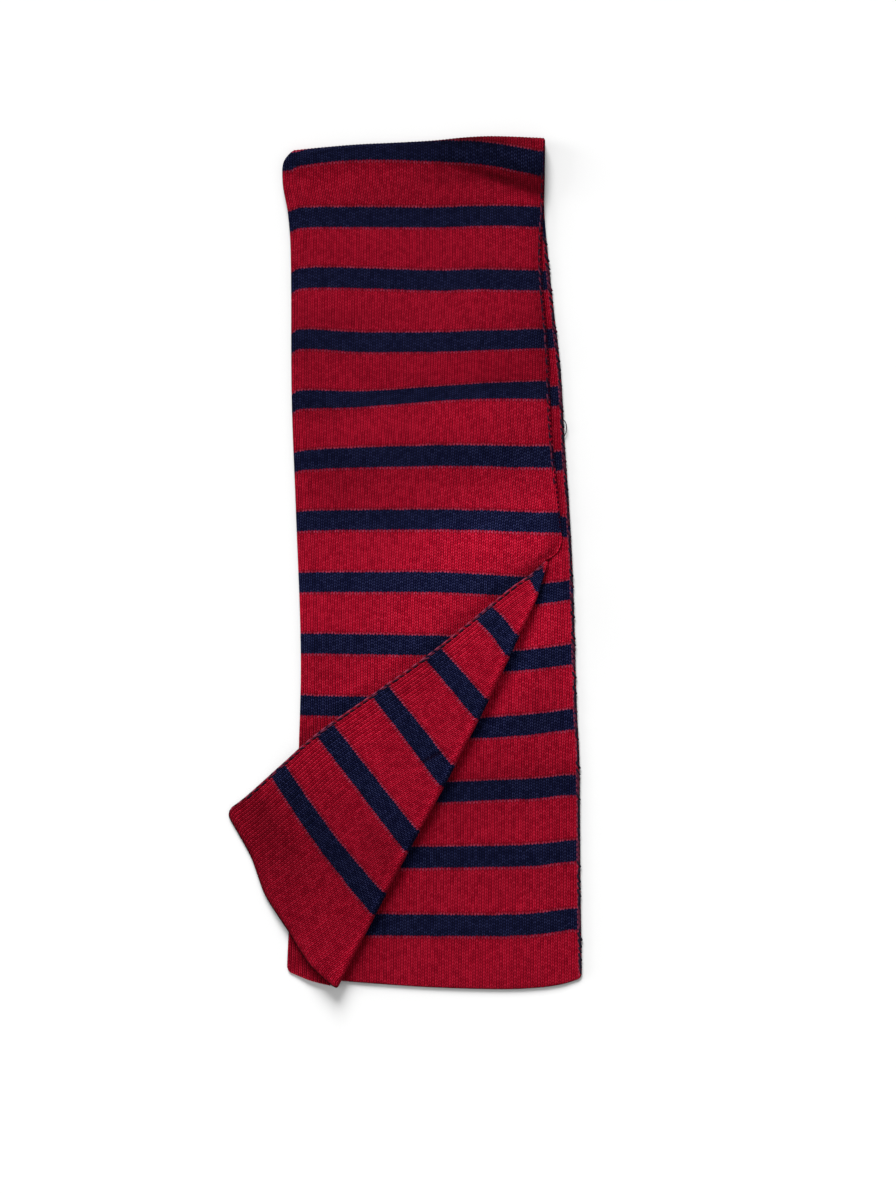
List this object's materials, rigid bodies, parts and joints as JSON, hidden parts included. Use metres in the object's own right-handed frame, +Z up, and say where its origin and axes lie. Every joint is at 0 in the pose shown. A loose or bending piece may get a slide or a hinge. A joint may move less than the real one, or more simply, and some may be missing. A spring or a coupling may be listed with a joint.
{
  "type": "folded knit scarf",
  "caption": "Striped knit scarf folded in half and laid flat, with one corner of its front leaf turned back to show the reverse.",
  "frame": {"origin": "on the surface that the scarf lies on, under the middle of its bounding box", "axes": "+Y along the scarf's length towards the top fold, +X towards the selvedge with the carried yarn, +Z up from the surface"},
  "size_m": [0.3526, 0.852, 0.0215],
  "materials": {
    "striped_knit": "matte double-faced knit, crimson with narrow navy crosswise stripes, the carried yarn showing as dashes along one selvedge"
  },
  "bodies": {
    "root": {"back_leaf": "striped_knit", "front_leaf": "striped_knit", "turned_corner": "striped_knit"}
  },
  "joints": []
}
